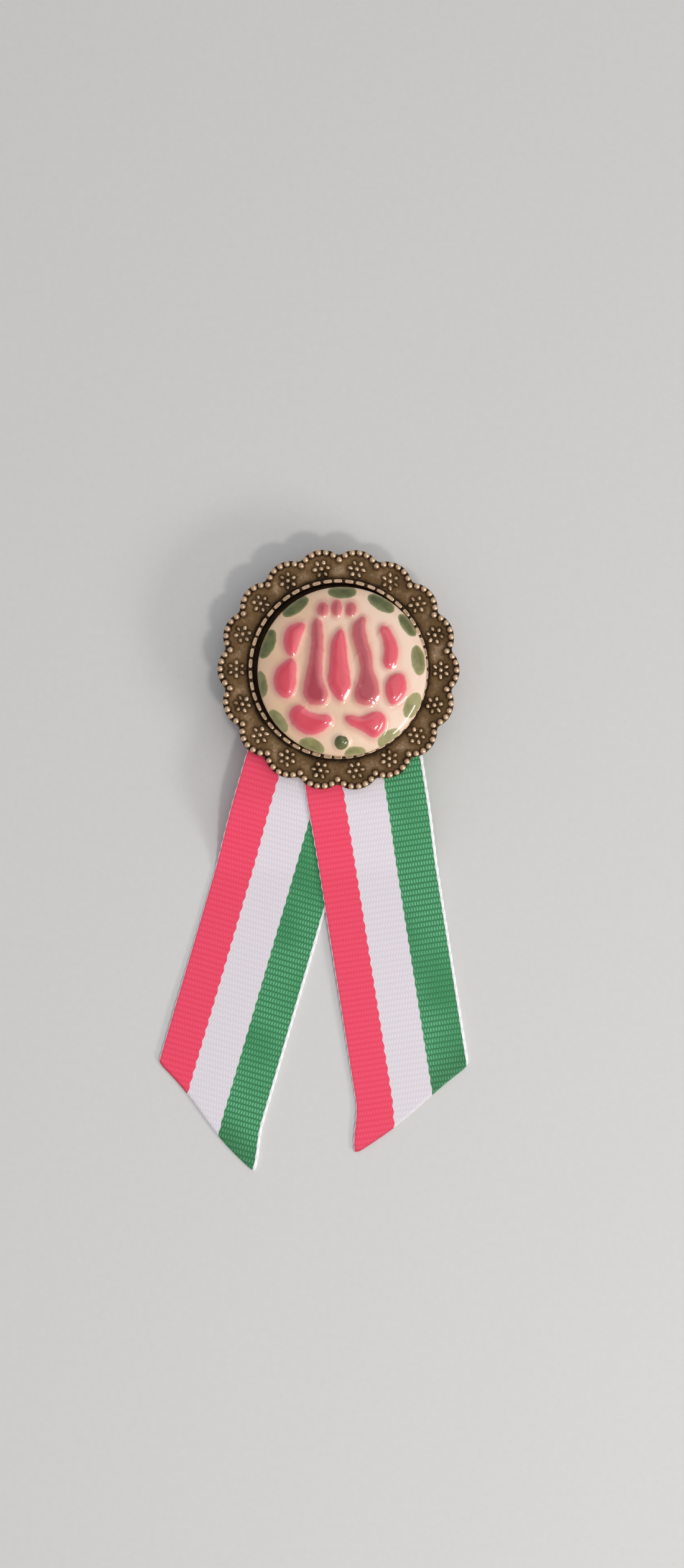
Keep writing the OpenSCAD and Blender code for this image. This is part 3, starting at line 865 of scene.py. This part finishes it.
def ribbon_part(name, start, end, cut_start=None, cut_end=None):
    """A closed strip of ribbon from one place along it to another; a cut gives the diagonal ends."""
    rows = int(round((end - start) / RIB * ROWS_PER_RIB)) + 1
    across, share = cross_section()
    u, s = np.meshgrid(across, np.linspace(start, end, rows))
    s, cut, flare = trimmed(u, s, cut_start, cut_end)

    rib = abs(np.sin(math.pi * s / RIB)) ** 0.7
    groove = 0.012 + 0.014 * ease(u - 2.5)
    thin = RIBBON_T / 2 - groove * (1 - rib)
    seal = np.sqrt(np.clip(cut / 0.3, 0.04, 1))
    selvedge = 1 + 0.25 * np.clip((u - 9.45) / 0.1, 0, 1)
    lift = np.tile(share, (rows, 1)) * thin * seal * selvedge

    picot = abs(np.sin(math.pi * s / (2 * RIB)))
    margin = np.clip((abs(u) - MARGIN_FROM) / (RIBBON_HALF_W - MARGIN_FROM), 0, 1)
    wide = u + flare + np.sign(u) * margin * np.where(u > 0, 0.08, 0.14) * (picot - 0.5)

    weave = np.stack([u, s, 0 * s], -1).reshape(-1, 3)
    around = len(across)
    faces = grid(rows, around, wrap=True)
    shape = Shape().add(folded(wide, s, lift), faces, weave=weave, cut=cut.ravel())
    for base in (0, (rows - 1) * around):
        for j in range(around // 2 - 1):
            mirror = around - 1 - j
            shape.face([base + j, base + j + 1, base + mirror - 1, base + mirror])
    mesh = shape.mesh(name)
    outward(mesh, weld=0.001, crease=60)
    return mesh


def diagonal(left, right, bow, blunt):
    """Length along the ribbon at which a scissor cut crosses it, bowed, with blunted corners."""
    def at(u):
        w = (u + RIBBON_HALF_W) / (2 * RIBBON_HALF_W)
        corner = np.clip((abs(u) - RIBBON_HALF_W + 1.2) / 1.2, 0, 1) ** 2
        line = left + (right - left) * w + bow * np.sin(2 * np.pi * np.clip(w, 0, 1))
        return line - blunt * corner * np.sign(left)
    return at


def make_ribbon(material):
    """Two strips, because a piece can bend across one joint at a time."""
    seam = SEAM_RIBS * RIB
    left_end = diagonal(-77.2, -90.6, 0.4, 0.3)
    right_end = diagonal(86.2, 74.2, 0.2, 0.6)
    ribs = math.ceil(91 / RIB)
    lower = ribbon_part("ribbon_lower", -ribs * RIB, seam, cut_start=left_end)
    fold = piece("ribbon_lower", lower, material,
                 replaced=["ribbon_fold", "left_tail", "right_tail_root"])
    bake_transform(fold)
    ribs = math.ceil((86.2 - seam) / RIB)
    upper = ribbon_part("ribbon_upper", seam, seam + ribs * RIB, cut_end=right_end)
    tail = piece("ribbon_upper", upper, material, replaced=["right_tail"])
    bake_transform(tail)


# ---- Glue ----
def glue_bed(node, squareness, fill):
    """A flattened bead of glue that fills its CAD node, with an uneven edge."""
    low, high = box(node)
    centre, half = (low + high) / 2, (high - low) / 2
    turns, rings = 120, 14
    angle = np.linspace(0, 2 * np.pi, turns, endpoint=False)
    bound = (abs(np.cos(angle)) ** squareness + abs(np.sin(angle)) ** squareness) ** (-1 / squareness)
    bound = bound * (fill + 0.05 * np.sin(5 * angle + 1) * np.sin(11 * angle))
    rows = []
    turn_over = np.linspace(0.02, math.pi - 0.02, 2 * rings)
    for t in turn_over:
        out = math.sin(t) ** 0.25
        up = half[2] * np.sign(math.cos(t)) * abs(math.cos(t)) ** 0.4
        rows.append(np.stack([centre[0] + half[0] * bound * out * np.cos(angle),
                              centre[1] + half[1] * bound * out * np.sin(angle),
                              centre[2] + up + 0 * angle], -1))
    shape = Shape().add(np.concatenate(rows), grid(len(rows), turns, wrap=True))
    shape.face(range(turns))
    shape.face(range(shape.count - turns, shape.count))
    mesh = shape.mesh(node)
    outward(mesh)
    return mesh


def make_glue(material):
    """The beds under the dome, the ribbon and the pin bar; fill is their share of the CAD outline."""
    for node, squareness, fill in (("cabochon_glue", 2, 0.86), ("ribbon_glue", 2, 0.95),
                                   ("pin_bar_glue", 5, 0.95)):
        bed = glue_bed(node, squareness, fill)
        piece(node + "_bed", bed, material, "medallion", [node])


# ---- Pin back ----
def arc(cx, cy, r, start, end, steps=12):
    """Points on an arc, angles in degrees."""
    a = np.radians(np.linspace(start, end, steps))
    return [(cx + r * math.cos(t), cy + r * math.sin(t)) for t in a]


def plate(name, outlines, thickness, edge):
    """A flat plate with eased edges, cut from closed outlines; inner outlines are holes."""
    curve = bpy.data.curves.new(name, "CURVE")
    curve.dimensions = "2D"
    curve.fill_mode = "BOTH"
    curve.extrude = (thickness / 2 - edge) * MM
    curve.bevel_depth = edge * MM
    curve.bevel_resolution = 2
    curve.offset = -edge * MM
    for outline in outlines:
        spline = curve.splines.new("POLY")
        spline.points.add(len(outline) - 1)
        spline.use_cyclic_u = True
        for point, (x, y) in zip(spline.points, outline):
            point.co = (x * MM, y * MM, 0, 1)
    obj = bpy.data.objects.new(name, curve)
    bpy.context.scene.collection.objects.link(obj)
    depsgraph = bpy.context.evaluated_depsgraph_get()
    mesh = bpy.data.meshes.new_from_object(obj.evaluated_get(depsgraph))
    bpy.data.objects.remove(obj)
    outward(mesh, weld=0.001)
    return mesh


def moved(mesh, axes, shift):
    """Turns a mesh's x, y and z to the given axes and shifts it by millimetres."""
    points = np.array([v.co for v in mesh.vertices])
    points = points @ np.array(axes, float) + np.array(shift) * MM
    mesh.vertices.foreach_set("co", points.ravel())
    mesh.update()
    outward(mesh)
    return mesh


def joined(name, meshes):
    """Several meshes as one."""
    shape = Shape()
    for mesh in meshes:
        base = shape.count
        shape.points.append(np.array([v.co for v in mesh.vertices]) / MM)
        shape.count += len(mesh.vertices)
        shape.faces += [[base + i for i in p.vertices] for p in mesh.polygons]
    mesh = shape.mesh(name)
    outward(mesh, crease=35)
    return mesh


def catch_outline(top):
    """Section of the catch: a barrel with a slot below, on a web that rises into the strip."""
    outer, bore, slot, web = 1.5, 1.05, 0.55, 0.6

    def slant(half, radius):
        return math.degrees(math.asin(half / radius))

    right = arc(0, STEM_Z, outer, slant(slot, outer) - 90, 90 - slant(web, outer), 24)
    left = arc(0, STEM_Z, outer, 90 + slant(web, outer), 270 - slant(slot, outer), 24)
    inner = arc(0, STEM_Z, bore, 270 - slant(slot, bore), slant(slot, bore) - 90, 40)
    return right + [(web, top - 0.3), (-web, top - 0.3)] + left + inner


def pin_bar():
    """A pierced strip with two ears for the rivet and the barrel of the catch."""
    x0, x1, half_w, top = bar_low[0], bar_high[0], bar_high[1], bar_high[2]
    r = 1.2
    outline = (arc(x1 - r, half_w - r, r, 0, 90) + arc(x0 + r, half_w - r, r, 90, 180)
               + arc(x0 + r, r - half_w, r, 180, 270) + arc(x1 - r, r - half_w, r, 270, 360))
    holes = [arc(x, 0, 1.0, 360, 15, 24) for x in (-4, 4)]
    strip = moved(plate("strip", [outline] + holes, BAR_T, 0.1), np.eye(3), (0, 0, top - BAR_T / 2))
    ear_r = 1.5
    ear = (arc(HINGE_X, ear_r, ear_r, 180, 360, 20)
           + [(HINGE_X + ear_r, top - 0.3), (HINGE_X - ear_r, top - 0.3)])
    rivet_hole = arc(HINGE_X, STEM_Z, 0.47, 360, 15, 24)
    ears = [moved(plate("ear", [ear, rivet_hole], BAR_T, 0.08), AXES_XZ,
                  (0, side * (half_w - BAR_T / 2), 0)) for side in (-1, 1)]
    catch_l = 2.8
    barrel = moved(plate("catch", [catch_outline(top)], catch_l, 0.06), AXES_YZ,
                   (x1 - catch_l / 2, 0, 0))
    return joined("pin_bar", [strip, barrel] + ears)


def hinge_rivet():
    """A turned pin with a domed head at each end."""
    half = 3.0
    head = [(0, half + 0.3), (0.4, half + 0.28), (0.72, half + 0.19), (0.84, half + 0.05), (0.82, half)]
    profile = head + [(0.45, half), (0.45, 1.0), (0.45, -1.0), (0.45, -half)]
    profile += [(r, -z) for r, z in reversed(head)]
    mesh = lathe(profile[::-1]).mesh("hinge_rivet")
    return moved(mesh, AXES_XZ, (HINGE_X, 0, STEM_Z))


def pin_stem():
    """A wire wound round the rivet as a coil, which runs out into the tapered, pointed stem."""
    wire, coil_r, turns = 0.33, 0.84, 2.75
    knuckle = []
    for side in (-1, 1):
        t = np.linspace(0, 1, 150)
        a = 2 * math.pi * turns * t
        y = side * (0.36 + (1.78 - 0.36) * (1 - t))
        coil = np.stack([HINGE_X + coil_r * np.cos(a), y, STEM_Z + coil_r * np.sin(a)], -1)
        knuckle.append(tube(coil, np.full(len(t), wire)))
    x = np.linspace(HINGE_X + coil_r - 0.1, STEM_TIP_X, 60)
    radius = np.interp(STEM_TIP_X - x, [0, 1, 3], [0.05, STEM_R / 2, STEM_R])
    stem = tube(np.stack([x, 0 * x, STEM_Z + 0 * x], -1), radius)
    neck = tube(np.array([[-9.72, y, STEM_Z] for y in np.linspace(-0.42, 0.42, 8)]), np.full(8, 0.34))
    return joined("pin_stem", knuckle + [stem, neck])


def tube(path, radius, sides=16):
    """A round tube along a path, closed at both ends."""
    path = np.asarray(path, float)
    along = np.gradient(path, axis=0)
    along /= np.linalg.norm(along, axis=1)[:, None]
    helper = np.array([0.0, 1.0, 0.0]) if abs(along[0, 1]) < 0.9 else np.array([0.0, 0.0, 1.0])
    side = np.cross(along, helper)
    side /= np.linalg.norm(side, axis=1)[:, None]
    up = np.cross(side, along)
    angle = np.linspace(0, 2 * np.pi, sides, endpoint=False)[None, :, None]
    ring = np.cos(angle) * side[:, None, :] + np.sin(angle) * up[:, None, :]
    points = path[:, None, :] + ring * np.asarray(radius)[:, None, None]
    shape = Shape().add(points, grid(len(path), sides, wrap=True))
    shape.face(range(sides))
    shape.face(range(shape.count - sides, shape.count))
    mesh = shape.mesh("tube")
    outward(mesh)
    return mesh


def safety_roller():
    """A slotted sleeve with a wider head and a thumb tab."""
    bore, slot, outer = 0.5, 0.44, 1.0
    low, high = box("safety_roller")

    def ring_profile(radius):
        s_out, s_in = (math.degrees(math.asin(slot / r)) for r in (radius, bore))
        return (arc(0, STEM_Z, radius, s_out - 90, 270 - s_out, 48)
                + arc(0, STEM_Z, bore, 270 - s_in, s_in - 90, 24))

    sleeve_l = high[0] - ROLLER_HEAD_L - low[0]
    sleeve = moved(plate("sleeve", [ring_profile(outer)], sleeve_l + 0.1, 0.05), AXES_YZ,
                   (low[0] + sleeve_l / 2, 0, 0))
    at_end = (high[0] - ROLLER_HEAD_L / 2, 0, 0)
    head = moved(plate("head", [ring_profile(1.35)], ROLLER_HEAD_L, 0.1), AXES_YZ, at_end)
    tab = ([(1.0, STEM_Z - 0.35)] + arc(high[1] - 0.35, STEM_Z, 0.35, -90, 90, 10)
           + [(1.0, STEM_Z + 0.35)])
    thumb = moved(plate("tab", [tab], ROLLER_HEAD_L, 0.1), AXES_YZ, at_end)
    return joined("safety_roller", [sleeve, head, thumb])


def make_pin(steel, brass):
    """The four parts of the pin back."""
    piece("pin_bar_strip", pin_bar(), steel, "medallion", ["pin_bar"])
    piece("hinge_rivet_turned", hinge_rivet(), steel, "medallion", ["hinge_rivet"])
    piece("pin_stem_wire", pin_stem(), steel, "stem", ["pin_stem"])
    piece("safety_roller_turned", safety_roller(), brass, "roller", ["safety_roller"])


# ---- Camera, floor and light ----
def make_camera():
    """Straight above, as the phone was held."""
    height, frame_px, focal_px = 0.200, 2521, 1890.5
    camera = bpy.data.objects.new("camera", bpy.data.cameras.new("camera"))
    bpy.context.scene.collection.objects.link(camera)
    camera.location = (0.000578, -0.01882, height)
    camera.data.sensor_width = 36
    camera.data.lens = 36 * focal_px / frame_px
    camera.data.clip_start = 0.005
    bpy.context.scene.camera = camera


def make_floor():
    """A plain pale sheet under the object."""
    half = 3.0
    mesh = bpy.data.meshes.new("floor")
    mesh.from_pydata([(-half, -half, 0), (half, -half, 0), (half, half, 0), (-half, half, 0)], [],
                     [(0, 1, 2, 3)])
    mesh.materials.append(floor_paper())
    floor = bpy.data.objects.new("floor", mesh)
    bpy.context.scene.collection.objects.link(floor)


def area_light(name, place, size, power, colour):
    """A soft rectangle of light, turned towards the object."""
    light = bpy.data.lights.new(name, "AREA")
    light.shape = "RECTANGLE"
    light.size, light.size_y = size
    light.energy = power
    light.color = colour
    obj = bpy.data.objects.new(name, light)
    bpy.context.scene.collection.objects.link(obj)
    obj.location = place
    target = np.array([0.0, -0.02, 0.0])
    aim = Vector(target - np.array(place))
    obj.rotation_mode = "QUATERNION"
    obj.rotation_quaternion = aim.to_track_quat("-Z", "Y")


def make_light():
    """Soft studio light: a dim room, a low window on the right, a softbox and two small lamps."""
    world = bpy.data.worlds.new("studio")
    world.use_nodes = True
    background = world.node_tree.nodes["Background"]
    background.inputs["Color"].default_value = (0.86, 0.89, 0.95, 1)
    background.inputs["Strength"].default_value = 0.45
    bpy.context.scene.world = world
    area_light("window", (0.80, -0.52, 0.40), (0.5, 0.17), 3.6, (1.0, 0.98, 0.95))
    area_light("softbox", (0.40, 0.35, 1.05), (1.5, 1.2), 3.6, (1.0, 0.98, 0.95))
    area_light("sparkle_a", (0.17, -0.26, 0.42), (0.036, 0.042), 0.36, (1.0, 0.97, 0.92))
    area_light("sparkle_b", (0.205, -0.25, 0.42), (0.026, 0.030), 0.2, (1.0, 0.97, 0.92))
    bpy.context.scene.view_settings.view_transform = "Standard"


make_camera()
make_floor()
make_light()
make_bezel(antique_bronze())
make_cabochon(glazed_ceramic())
make_ribbon(ribbon_weave())
make_glue(clear_glue())
make_pin(nickel_steel(), brass_satin())

bpy.context.view_layer.update()
